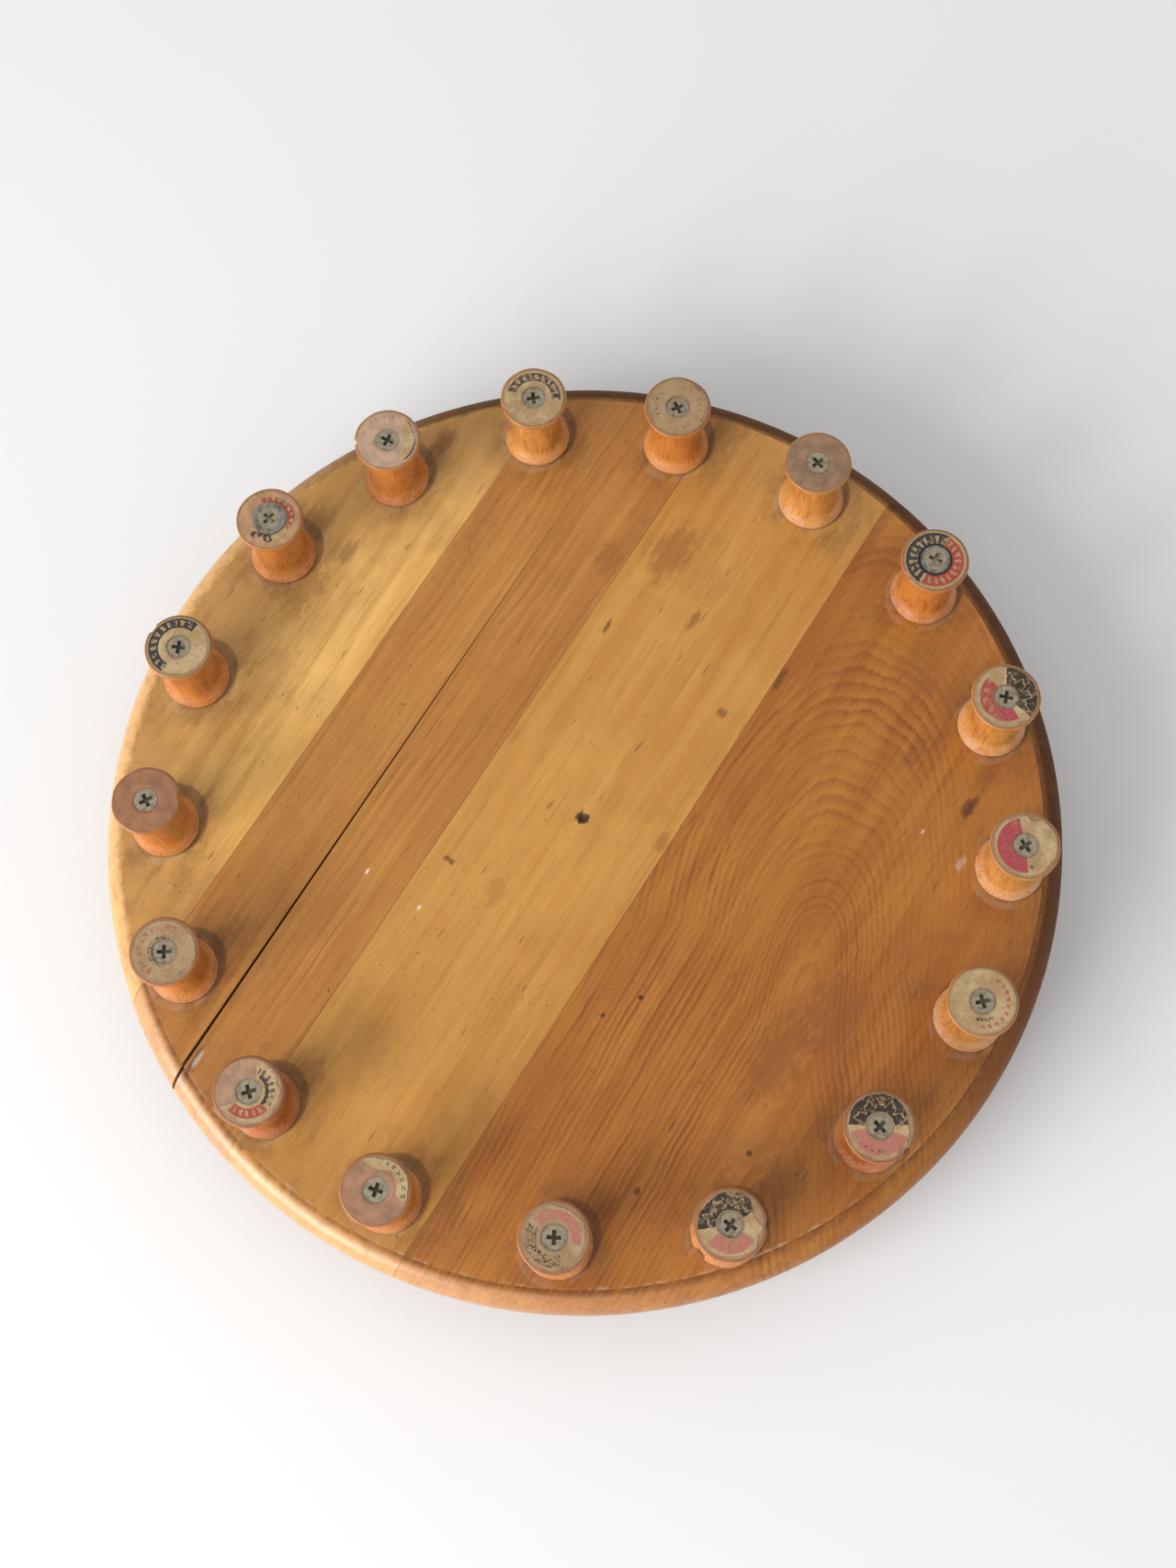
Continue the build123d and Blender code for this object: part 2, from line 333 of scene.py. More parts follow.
# %% Marks of use
SOOT = (0.030, 0.012, 0.006)
UMBER = (0.130, 0.045, 0.012)
RUSSET = (0.230, 0.072, 0.014)
CHALK = (0.80, 0.76, 0.70)
MARKS = [
    (0, 0, 3.0, 2.8, (0.050, 0.018, 0.008), 0.95), (14.6, -69, 1.3, 1.3, SOOT, 0.95), (0.5, -74, 0.9, 1.0, SOOT, 0.8),
    (46.8, -128, 1.1, 1.5, SOOT, 0.8), (6.3, -137, 1.6, 1.8, SOOT, 0.7), (16.3, 73.4, 1.2, 3.6, UMBER, 0.8),
    (-50.4, -11, 2.6, 1.4, UMBER, 0.8), (79, 46, 1.6, 5.5, UMBER, 0.8), (56, 35, 2.0, 2.4, UMBER, 0.6),
    (28, -12.5, 3.0, 4.5, UMBER, 0.35), (-34, -25, 5.0, 6.0, UMBER, 0.22), (142, -11, 2.6, 5.0, SOOT, 0.7),
    (49.5, 72.9, 2.2, 5.0, UMBER, 0.45), (44, 101, 8.0, 15.0, RUSSET, 0.50), (20, 102, 6.0, 9.0, RUSSET, 0.40),
    (84, -80, 11.0, 20.0, RUSSET, 0.55), (62, -95, 10.0, 22.0, RUSSET, 0.55), (57, -140, 9.0, 12.0, UMBER, 0.36),
    (-98, 101, 9.0, 15.0, UMBER, 0.34), (-114, 66, 9.0, 20.0, UMBER, 0.24), (-39, 157, 4.0, 7.0, UMBER, 0.45),
    (-79, 115, 3.0, 6.0, UMBER, 0.35), (-108, -85, 8.0, 12.0, UMBER, 0.28), (-149, -79, 1.6, 9.0, SOOT, 0.65),
    (-146, -76, 0.9, 5.0, CHALK, 0.35), (-80.4, -12.3, 0.7, 1.5, CHALK, 0.85), (-62.5, -27.9, 0.8, 1.2, CHALK, 0.6),
    (135.7, -31.4, 2.0, 4.0, CHALK, 0.20), (124, -18, 0.8, 1.2, CHALK, 0.5), (126, 13, 4.0, 9.0, UMBER, 0.35),
]


def with_marks(f, x, y, tone, rough, plank):
    """The tone, with every mark whose middle lies on this plank."""
    low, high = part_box(plank)
    for right, away, wide, long, colour, strength in MARKS:
        spot = seen(right * MM, away * MM, 0)
        if low.x < spot.x < high.x:
            dx, dy = (x - spot.x) / (wide * MM), (y - spot.y) / (long * MM)
            reach = (dx * dx + dy * dy).root() + (rough - 0.5) * 2.4
            tone = f.mix((1 - f.step(reach, 0.45, 1.1)) * strength, tone, colour)
    return tone


# %% [markdown]
# The plank finish takes its two wood tones, its ring contrast, a seed that moves the
# noise so that no two planks repeat, and how brown the wood has gone towards the edge
# of the board. A growth ring darkens slowly and then stops at a sharp line, so its
# profile is a slow rise and a quick fall, and a second noise that follows the rings
# makes some of them darker than others. The flat top ends in a crisp corner where the
# varnish has rubbed through, a pale line that is also a painted highlight on the near
# side, and the little step below it is painted darker. The moulded edge carries a painted
# shade on the side away from the window, and a painted sheen on the side towards it.

# %% Plank finish
FLAT_MARGIN = 8.2 * MM
QUIRK_DEPTH = 1.6 * MM


def plank_finish(name, pale, deep, contrast, ring_width, seed, rings, soil):
    f = Finish(name + "_varnish")
    place = f.place()
    x, y, z = f.split(place)
    shift = f.vector(x + seed * 0.37, y + seed * 0.61, z)
    right = x * math.cos(VIEW_TURN) + y * math.sin(VIEW_TURN)
    away = y * math.cos(VIEW_TURN) - x * math.sin(VIEW_TURN)

    # Slow change of tone, long streaks, and rings bent by a warp and feathered at their edges.
    blotch = f.noise(shift, 11.0, 4.0, 0.6)
    streak = f.noise(f.scaled(shift, (1.0, 0.05, 1.0)), 150.0, 3.0, 0.6)
    fibre = f.noise(f.scaled(shift, (1.0, 0.03, 1.0)), 640.0, 3.0, 0.7)
    warp = f.noise(f.scaled(shift, (1.0, 0.45, 1.0)), 22.0, 2.0, 0.5) - 0.5
    ripple = f.noise(f.scaled(shift, (1.0, 0.35, 1.0)), 130.0, 2.0, 0.6) - 0.5
    feather = f.noise(f.scaled(shift, (1.0, 0.20, 1.0)), 760.0, 2.0, 0.65) - 0.5
    course, strength = rings(f, x, y)
    distance = course + warp * 0.011 + ripple * 0.0014 + feather * 0.0012
    phase = distance / ring_width % 1.0
    weight = f.noise(f.vector(distance, seed * 2.3, y * 0.05), 0.55 / ring_width, 2.0, 0.6)
    wave = f.step(phase, 0.15, 0.86) * (1 - f.step(phase, 0.90, 1.0))
    ring = wave * strength * (f.step(weight, 0.34, 0.66) * 0.75 + 0.25) * (f.step(fibre, 0.36, 0.62) * 0.60 + 0.50)
    patch = f.step(f.noise(shift, 17.0, 2.0, 0.5), 0.28, 0.60) * 0.7 + 0.3

    # Short dark pores along the grain.
    pores = f.noise(f.scaled(shift, (1.0, 0.045, 1.0)), 1500.0, 2.0, 0.65)
    pore = f.step(pores, 0.56, 0.72)
    flecks = f.noise(f.scaled(shift, (1.0, 0.13, 1.0)), 620.0, 1.0, 0.5)
    fleck = f.step(flecks, 0.73, 0.80)

    tone = f.mix(f.step(blotch * 0.55 + streak * 0.45, 0.36, 0.64), deep, pale)
    ring_shade = tuple(c * s for c, s in zip(deep, (0.70, 0.56, 0.44)))
    tone = f.mix(f.step(fibre, 0.48, 0.74) * 0.34, tone, ring_shade)
    tone = f.mix(ring * patch * contrast, tone, ring_shade)
    tone = f.mix(pore * 0.26, tone, tuple(c * 0.40 for c in deep))
    tone = f.mix(fleck * 0.50, tone, (0.10, 0.035, 0.010))

    # Stains, grime that thickens towards the edge of the board, and fine black specks.
    radius = (x * x + y * y).root()
    upward = f.step(z, board_top - 0.0008, board_top - 0.0002)
    stain = f.step(f.noise(f.scaled(shift, (1.0, 0.5, 1.0)), 34.0, 4.0, 0.62), 0.58, 0.72)
    tone = f.mix(stain * 0.22, tone, (0.17, 0.060, 0.014))
    outer = f.step(radius, 0.070, 0.165) * 0.8 + 0.2
    grime = f.step(f.noise(f.scaled(shift, (1.0, 0.65, 1.0)), 38.0, 6.0, 0.70), 0.50, 0.68)
    tone = f.mix(grime * outer * upward * 0.36, tone, (0.160, 0.068, 0.024))
    veil = f.step(radius + (blotch - 0.5) * 0.12, 0.124, 0.172) * upward
    tone = f.mix(veil * soil, tone, (0.255, 0.118, 0.034))
    speckled = f.step(f.noise(shift, 26.0, 2.0, 0.5), 0.50, 0.62)
    speck = f.step(f.noise(shift, 780.0, 1.0, 0.5), 0.71, 0.77) * speckled
    tone = f.mix(speck * 0.65, tone, (0.045, 0.018, 0.007))

    # Dirt and painted shadow behind the feet of the spools, and a pale wax line with painted sheen in front.
    gap = distance_to_spools(f, x, y, name, seen(1.9 * MM, 1.6 * MM, 0))
    window_side_gap = distance_to_spools(f, x, y, name, seen(-0.7 * MM, -0.7 * MM, 0))
    smear = f.noise(f.scaled(shift, (1.0, 0.5, 1.0)), 90.0, 5.0, 0.68)
    # Partly dirt, partly painted shadow: a dark smudge behind each foot, away from the window.
    dirt = (1 - f.step(gap, 0.0, 0.014)) * f.step(smear, 0.42, 0.64) * upward
    # Painted contact shade: a thin dark line at each foot, on the side away from the window.
    line = (1 - f.step(gap, 0.0, 0.0011)) * upward
    tone = f.mix(dirt * 0.46, tone, (0.095, 0.038, 0.013))
    tone = f.mix(line * 0.50, tone, (0.060, 0.026, 0.012))
    # Partly wax, partly painted sheen: a pale line in front of each foot, on the window side.
    wax_and_sheen = (1 - f.step(window_side_gap, 0.0004, 0.0013)) * f.step(smear, 0.40, 0.58) * upward * (1 - dirt)
    tone = f.mix(wax_and_sheen * 0.32, tone, (0.62, 0.46, 0.34))
    rough = f.noise(f.scaled(shift, (1.0, 0.30, 1.0)), 460.0, 4.0, 0.75)
    tone = with_marks(f, x, y, tone, rough, name)

    # The rubbed and highlighted corner of the flat top, the step below it painted darker, the moulded edge with
    # painted shade and sheen, and the glue joints.
    corner = board_radius - FLAT_MARGIN
    scuff = f.noise(shift, 240.0, 4.0, 0.7)
    # The pale rubbed line on the corner is partly wear and partly a painted highlight, strongest on the near side.
    near = 1 - f.step(away + right * 0.25, -0.150, -0.070)
    rubbed = (1 - f.step(abs(radius - corner), 0.0002, 0.0015)) * f.step(scuff, 0.42, 0.72) * (near * 0.42 + 0.08)
    # The little step under the corner is painted darker.
    below = f.step(z, board_top - QUIRK_DEPTH - 0.0007, board_top - QUIRK_DEPTH + 0.0002)
    darker_step = below * (1 - f.step(z, board_top - 0.0005, board_top - 0.0002))
    tone = f.mix(darker_step * (f.step(scuff, 0.36, 0.60) * 0.35 + 0.22), tone, (0.060, 0.024, 0.009))
    rim = f.step(radius, corner + 0.0008, corner + 0.0030)
    # Painted shade: the moulded edge is darkened on the side away from the window.
    shade_side = f.step(right * 0.72 + away * 0.69, -0.060, 0.110)
    tone = f.mix(rim * (shade_side * 0.84 + 0.06), tone, (0.060, 0.017, 0.004))
    # Painted sheen: the moulded edge is lightened on the side towards the window.
    lit = 1 - f.step(right, -0.110, 0.090)
    tone = f.mix(rim * (1 - shade_side) * lit * 0.48, tone, (0.760, 0.430, 0.205))
    handled = rim * f.step(scuff, 0.45, 0.70)
    tone = f.mix(handled * 0.35, tone, (0.20, 0.075, 0.022))
    tone = f.mix(rubbed * upward, tone, (0.62, 0.44, 0.31))
    low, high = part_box(name)
    for edge in (low.x, high.x):
        if abs(edge) < 0.9 * board_radius:
            joint = 1 - f.step(abs(x - edge), 0.00006, 0.00034)
            tone = f.mix(joint * 0.45, tone, (0.10, 0.035, 0.010))

    # Varnish: satin where it has been wiped, dull where dirt or wear has broken it.
    sheen = f.noise(shift, 45.0, 4.0, 0.6)
    hole = 1 - f.step(radius, 0.0024, 0.0032)
    roughness = sheen * 0.22 + 0.32 + dirt * 0.25 + rubbed * 0.20 + pore * 0.06
    roughness = roughness + grime * 0.10 + hole * 0.5 + rim * shade_side * 0.30
    grain = f.bump(pores * 0.6 + fibre * 0.4 - wave * 0.2 * contrast, 0.00012, 0.35)
    dents = f.noise(shift, 95.0, 3.0, 0.5)
    normal = f.bump(dents, 0.0010, 0.22, grain)
    material = f.surface(tone, roughness, normal, Specular_IOR_Level=0.32, Coat_Roughness=0.24)
    f.link(f.shader.inputs["Coat Weight"], rim * (1 - shade_side) * lit * 0.45 + (1 - rim * shade_side) * 0.10)
    return material


# %% [markdown]
# Now each plank gets its own numbers. The outer plank is sapwood and nearly straw
# coloured. The two narrow planks are browner, and the wide one is the richest.

# %% Dress the planks
SAP = (0.800, 0.472, 0.142)
STRAW = (0.640, 0.336, 0.078)
HONEYED = (0.575, 0.292, 0.068)
GOLD = (0.475, 0.212, 0.038)
TAN = (0.500, 0.228, 0.050)
AMBER = (0.400, 0.160, 0.030)
COPPER = (0.445, 0.172, 0.026)
RICH = (0.340, 0.108, 0.013)


# For each plank: its pale and deep tones, the contrast and width of its rings, a seed,
# the course that its rings take, and how much brown soil lies towards the edge.
PLANK_LOOKS = {
    "pale_outer_plank": (SAP, STRAW, 0.30, 9.0 * MM, 1, straight_rings(0.06), 0.55),
    "tan_narrow_plank": (TAN, AMBER, 0.55, 3.4 * MM, 2, straight_rings(0.01), 0.20),
    "brown_narrow_plank": (TAN, AMBER, 0.60, 3.9 * MM, 3, straight_rings(-0.015), 0.20),
    "pale_centre_plank": (HONEYED, GOLD, 0.30, 8.0 * MM, 4, straight_rings(0.03), 0.30),
    "figured_wide_plank": (COPPER, RICH, 0.90, 2.4 * MM, 5, arched_rings, 0.10),
}
for plank, look in PLANK_LOOKS.items():
    dress(plank, plank_finish(plank, *look))
print("planks dressed:", len(PLANK_LOOKS))

# %% [markdown]
# ## Spools
# A thread spool is turned on a lathe, so its mesh is one outline carried round a
# circle. The outline needs only the points that the shape has: a bore, a countersink
# for the screw, two flanges with rounded lips, and a barrel that flares into them. A
# worn spool isn't perfect, so each one is a little out of round, its lips are dented,
# and a few have lost a bite of wood. Moving the outline's radius by a small formula
# gives all of that without breaking the closed surface.

# %% Spool outline
BORE = 3.6 * MM
HEAD = 4.25 * MM
BARREL = 9.5 * MM
LIP = 2.3 * MM
FLARE = 4.6 * MM
ROUND = 0.8 * MM
HEAD_DEPTH = 0.9 * MM
FLARE_POWER = 1.7
BARREL_STEPS = 9


def corner_arc(radius, height, start, end, steps=4):
    """Points on a quarter of a small circle, with its angles in degrees."""
    angles = [math.radians(start + (end - start) * k / steps) for k in range(steps + 1)]
    return [(radius + ROUND * math.cos(a), height + ROUND * math.sin(a)) for a in angles]


def flare_points(lip, barrel, steps=7):
    """The hollow curve from a flange's lip to the barrel."""
    points = []
    for k in range(1, steps + 1):
        t = k / steps
        inward = 1 - (1 - t) ** FLARE_POWER
        points.append((flange_radius + (BARREL - flange_radius) * inward, lip + (barrel - lip) * t))
    return points


def spool_outline():
    """(radius, height) points, from the bore at the foot, up the outside, to the bore at the top."""
    top = spool_height
    rise = flange_radius - ROUND
    points = [(BORE, 0.0), (BORE + 1.5 * MM, 0.0), (rise - 3 * MM, 0.0)]
    points += corner_arc(rise, ROUND, -90, 0)
    points += corner_arc(rise, LIP - ROUND, 0, 60)
    points += flare_points(LIP, LIP + FLARE)
    barrel_low, barrel_high = LIP + FLARE, top - LIP - FLARE
    points += [(BARREL, barrel_low + (barrel_high - barrel_low) * k / BARREL_STEPS)
               for k in range(1, BARREL_STEPS + 1)]
    points += reversed([(r, top - z) for r, z in flare_points(LIP, LIP + FLARE)[:-1]])
    points += corner_arc(rise, top - LIP + ROUND, -60, 0)
    points += corner_arc(rise, top - ROUND, 0, 90)
    points += [(flange_radius - 2 * MM, top), (8 * MM, top), (6 * MM, top), (HEAD + 0.35 * MM, top)]
    points += [(HEAD, top - 0.12 * MM), (HEAD, top - HEAD_DEPTH), (BORE, top - 2 * HEAD_DEPTH)]
    points += [(BORE, top * 0.66), (BORE, top * 0.33)]
    return points


# %% [markdown]
# The bites are listed as a dial would say them: which spool, at what hour, on which
# flange, and how wide and deep. Everything else that is irregular comes from a seeded
# random generator, so a second run makes the same spools.

# %% Spool mesh
SPOOL_STEPS = 112
BITES = {
    "spool_08": [(4.6, "top", 1.8 * MM, 1.5 * MM)],
    "spool_09": [(7.9, "foot", 2.8 * MM, 1.5 * MM), (3.2, "top", 2.2 * MM, 0.7 * MM)],
    "spool_14": [(2.9, "top", 2.4 * MM, 1.2 * MM)],
    "spool_15": [(10.4, "top", 1.9 * MM, 1.0 * MM)],
    "spool_17": [(9.1, "top", 1.1 * MM, 1.3 * MM)],
    "spool_04": [(8.2, "top", 1.5 * MM, 0.6 * MM)],
    "spool_01": [(8.6, "top", 1.6 * MM, 0.7 * MM)],
    "spool_12": [(5.4, "top", 2.0 * MM, 0.7 * MM)],
}


def bite_depth(name, angle, height):
    """How far the wood is broken back at this point of a flange."""
    depth = 0.0
    for hour, flange, width, deep in BITES.get(name, []):
        level = spool_height - LIP / 2 if flange == "top" else LIP / 2
        turn = (angle - clock(hour) + math.pi) % (2 * math.pi) - math.pi
        away = math.hypot(turn * flange_radius / width, (height - level) / (1.4 * LIP))
        depth = max(depth, deep * max(0.0, 1 - away ** 2.6))
    return depth


def finished_mesh(name, mesh):
    """Turns every face outwards and hands the mesh over to Blender."""
    bmesh.ops.recalc_face_normals(mesh, faces=mesh.faces)
    data = bpy.data.meshes.new(name)
    mesh.to_mesh(data)
    mesh.free()
    return data


def turned_mesh(name, outline, steps, shift):
    """Carries an outline round Z. The shift function gives each point its own change of radius."""
    mesh = bmesh.new()
    rings = []
    for k in range(steps):
        angle = 2 * math.pi * k / steps
        ring = []
        for radius, height in outline:
            r = radius - shift(angle, radius, height)
            ring.append(mesh.verts.new((r * math.cos(angle), r * math.sin(angle), height)))
        rings.append(ring)
    count = len(outline)
    for k in range(steps):
        here, there = rings[k], rings[(k + 1) % steps]
        for j in range(count):
            mesh.faces.new((here[j], there[j], there[(j + 1) % count], here[(j + 1) % count]))
    return finished_mesh(name, mesh)


def smooth_object(name, data, angle=40):
    """An object whose faces are shaded smooth, except across sharp edges."""
    piece = bpy.data.objects.new(name, data)
    bpy.context.scene.collection.objects.link(piece)
    data.shade_smooth()
    data.set_sharp_from_angle(angle=math.radians(angle))
    return piece


def spool_shift(name, seed):
    """The small faults of one spool, as a function of angle, radius and height."""
    rng = random.Random(seed)
    waves = [(rng.choice((2, 3, 5, 7, 11)), rng.uniform(0, 6.28), rng.uniform(0.01, 0.05)) for _ in range(5)]

    def shift(angle, radius, height):
        near_lip = max(0.0, min(1.0, (radius - 11.2 * MM) / (1.0 * MM)))
        wobble = sum(size * math.sin(count * angle + turn + height * 150) for count, turn, size in waves)
        out = max(0.0, min(1.0, (radius - 6.5 * MM) / (2.0 * MM)))
        return max(0.0, 0.06 + wobble) * MM * near_lip + bite_depth(name, angle, height) * out * near_lip
    return shift


# %% [markdown]
# ## Spool varnish
# The spools had a thicker, glossier varnish than the board, over a fine straight
# grain that runs up the barrel. It has worn off the lips, and pale dust lies on the
# upper slope of each foot. The end of the spool never had varnish: it is bare, grey
# brown wood with a polish from hands, and where paper was torn away it shows short
# cracks that run out from the bore. The end is picked out by height alone.

# %% Spool finish
def spool_finish(name, tone, face, dust_amount, seed):
    f = Finish(name + "_varnish")
    place = f.place()
    x, y, z = f.split(place)
    shift = f.vector(x + seed * 0.13, y + seed * 0.29, z + seed * 0.05)
    radius = (x * x + y * y).root()

    # Varnished sides.
    fibre = f.noise(f.scaled(shift, (1.0, 1.0, 0.06)), 1300.0, 3.0, 0.6)
    cloud = f.noise(f.scaled(shift, (1.0, 1.0, 0.6)), 110.0, 3.0, 0.55)
    deep = tuple(c * s for c, s in zip(tone, (0.60, 0.42, 0.30)))
    side = f.mix(f.step(fibre * 0.55 + cloud * 0.45, 0.30, 0.60), deep, tone)
    specks = f.step(f.noise(f.scaled(shift, (1.0, 1.0, 0.3)), 700.0, 2.0, 0.6), 0.66, 0.76)
    side = f.mix(specks * 0.5, side, (0.11, 0.030, 0.008))

    # Dust and grime on the foot, painted contact shade at its base, painted shade under the top flange, and worn
    # lips.
    grime = f.noise(shift, 260.0, 4.0, 0.65)
    foot = 1 - f.step(z, LIP + 0.2 * MM, LIP + 3.6 * MM)
    side = f.mix(foot * f.step(grime, 0.36, 0.66) * dust_amount * 0.55, side, (0.56, 0.40, 0.31))
    # Painted contact shade where the foot meets the board.
    contact_shade = 1 - f.step(z, 0.0001, 0.0009)
    side = f.mix(contact_shade * 0.55, side, (0.09, 0.036, 0.014))
    # Painted shade on the flare under the top flange.
    under_lip_shade = f.step(z, spool_height - LIP - FLARE, spool_height - LIP)
    side = f.mix(under_lip_shade * 0.30, side, deep)
    lip = f.step(radius, flange_radius - 0.55 * MM, flange_radius - 0.05 * MM)
    worn = lip * f.step(grime, 0.42, 0.62)
    side = f.mix(worn * 0.30, side, (0.46, 0.21, 0.085))

    # Bare end.
    turn = f.node("ShaderNodeMath", {"operation": "ARCTAN2"}, {0: y, 1: x})
    spokes = f.noise(f.vector(turn * 5.0, radius * 90, seed * 1.7), 1.6, 3.0, 0.7)
    crack = f.step(spokes, 0.60, 0.68) * f.step(radius, 4.6 * MM, 7.0 * MM)
    mottled = f.noise(shift, 190.0, 5.0, 0.65)
    pale_face = tuple(min(1.0, c * 1.45) for c in face)
    end = f.mix(f.step(mottled, 0.34, 0.66), face, pale_face)
    end = f.mix(crack * 0.40, end, tuple(c * 0.45 for c in face))
    rim = f.step(radius, flange_radius - 1.7 * MM, flange_radius - 0.6 * MM)
    end = f.mix(rim * 0.80, end, tuple(c * 0.48 for c in tone))
    end = f.mix(rim * f.step(mottled, 0.50, 0.70) * 0.5, end, (0.12, 0.045, 0.016))
    # Painted shade: a dark ring round the screw's countersink.
    ring = 1 - f.step(radius, HEAD, HEAD + 0.9 * MM)
    end = f.mix(ring * 0.45, end, (0.10, 0.060, 0.035))

    is_end = f.step(z, spool_height - 0.35 * MM, spool_height - 0.08 * MM)
    colour = f.mix(is_end, side, end)
    roughness = 0.24 + grime * 0.16 + foot * 0.22 + worn * 0.12 + is_end * 0.20
    lathe = f.noise(f.vector(0.0, 0.0, z + seed), 2600.0, 2.0, 0.5)
    bump = f.bump(fibre * 0.4 + lathe * 0.5 + crack * is_end * -1.2, 0.00010, 0.45)
    bump = f.bump(grime, 0.00035, 0.30, bump)
    return f.surface(colour, roughness, bump, Specular_IOR_Level=0.42, Coat_Weight=0.22, Coat_Roughness=0.14)


# %% Make the spools
ORANGE = (0.55, 0.198, 0.038)
HONEY = (0.60, 0.262, 0.062)
CHESTNUT = (0.43, 0.138, 0.030)
BARE = (0.250, 0.140, 0.070)
FACES = {1: HONEY, 2: ORANGE, 3: HONEY, 4: ORANGE, 5: HONEY, 6: HONEY, 7: HONEY, 8: CHESTNUT, 9: ORANGE,
         10: ORANGE, 11: ORANGE, 12: CHESTNUT, 13: ORANGE, 14: ORANGE, 15: ORANGE, 16: ORANGE, 17: ORANGE}
END_TONES = {3: (0.205, 0.115, 0.062), 11: (0.250, 0.128, 0.070), 12: (0.275, 0.160, 0.092),
             14: (0.230, 0.100, 0.045), 16: (0.310, 0.175, 0.085), 17: (0.330, 0.215, 0.140)}
DUSTY = {5: 0.55, 6: 0.85, 7: 0.80, 4: 0.45, 3: 0.55, 13: 0.45, 9: 0.5}


def number_of(name):
    return int(name[-2:])


outline = spool_outline()
for name in SPOOLS:
    number = number_of(name)
    data = turned_mesh(name + "_turned", outline, SPOOL_STEPS, spool_shift(name, number))
    data.materials.append(spool_finish(name, FACES[number], END_TONES.get(number, BARE),
                                       DUSTY.get(number, 0.25), number))
    piece = smooth_object(name + "_turned", data)
    piece.location = spool_places[name]
    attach(piece, "turntable")
    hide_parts(name)
print("spools made:", len(SPOOLS), "faces each:", len(data.polygons))

# %% [markdown]
# ## Paper labels
# Each spool end once had a round printed label, and every one of them has aged in its
# own way. A label is a real sheet here: a ring of paper with thickness, whose outer
# edge is frayed, and which is torn away over part of the dial on some spools. The
# outline is a formula of the angle, so a tear is a place where the outer radius drops
# towards the screw. A table says what is left of each.

# %% Torn paper
LABEL_STEPS = 180
LABEL_RINGS = 9
PAPER = 0.15 * MM
LABEL = 11.5 * MM
WASHERS = {"spool_04": 5.4 * MM, "spool_16": 6.4 * MM}

# For each label: the hours between which paper is left, the smallest and largest
# radius that is left as shares of the full label, and how ragged its edge is.
PAPER_LEFT = {
    1: (0, 12, 0.0, 1.00, 0.02), 2: (0, 12, 0.0, 0.99, 0.03), 4: (0, 12, 0.0, 1.00, 0.01),
    5: (0, 12, 0.0, 1.00, 0.02), 6: (0, 12, 0.0, 0.98, 0.05), 7: (0, 12, 0.0, 1.00, 0.01),
    8: (0, 12, 0.0, 0.97, 0.05), 9: (0, 12, 0.0, 0.96, 0.05), 10: (0, 12, 0.0, 0.93, 0.05),
    11: (11.4, 4.2, 0.62, 0.97, 0.05), 12: (0.6, 8.2, 0.0, 0.96, 0.04), 13: (0, 12, 0.0, 0.96, 0.03),
    15: (0, 12, 0.0, 1.00, 0.01), 16: (11.2, 8.0, 0.0, 0.80, 0.07), 17: (1.6, 5.2, 0.50, 0.92, 0.05),
}
TEARS = {6: [(0.9, 0.5, 0.16)], 8: [(3.2, 1.3, 0.14), (4.8, 0.4, 0.12)], 9: [(2.4, 0.9, 0.20), (4.0, 0.5, 0.08)],
         5: [(5.3, 0.3, 0.08)], 10: [(9.2, 0.8, 0.10)], 13: [(4.8, 0.7, 0.12)], 2: [(8.8, 1.2, 0.10)],
         16: [(9.0, 0.5, 0.14), (7.0, 0.5, 0.12)], 12: [(2.6, 0.4, 0.08)], 1: [(7.9, 0.5, 0.06)]}


def hours_apart(hour, other):
    return abs((hour - other + 6) % 12 - 6)


def edge_noise(rng, rough):
    """A ragged closed line as a sum of sines."""
    parts = [(count, rng.uniform(0, 6.28), rough / count ** 0.7) for count in (3, 5, 9, 17, 31)]
    return lambda angle: sum(size * math.sin(count * angle + turn) for count, turn, size in parts)


